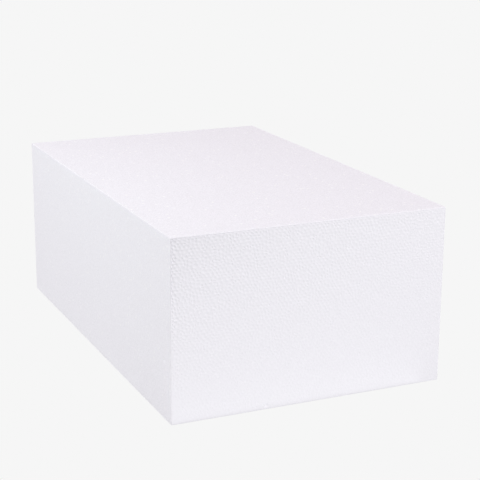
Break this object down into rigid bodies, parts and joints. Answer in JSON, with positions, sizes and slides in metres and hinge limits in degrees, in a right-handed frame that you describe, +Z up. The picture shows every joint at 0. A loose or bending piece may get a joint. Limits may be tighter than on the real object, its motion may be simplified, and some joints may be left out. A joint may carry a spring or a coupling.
{
  "type": "foam block",
  "caption": "Rigid rectangular block of white expanded bead foam with flat square sides and lightly eased edges, for craft, packing and support.",
  "frame": {"origin": "centre of the underside, in the plane that the block rests on", "axes": "+X across the width, +Y along the length, +Z up through the height"},
  "size_m": [0.16, 0.25, 0.1],
  "materials": {
    "bead_foam": "matt white bead foam, with fused beads showing as a fine cellular texture"
  },
  "bodies": {
    "root": {"foam_block": "bead_foam"}
  },
  "joints": []
}
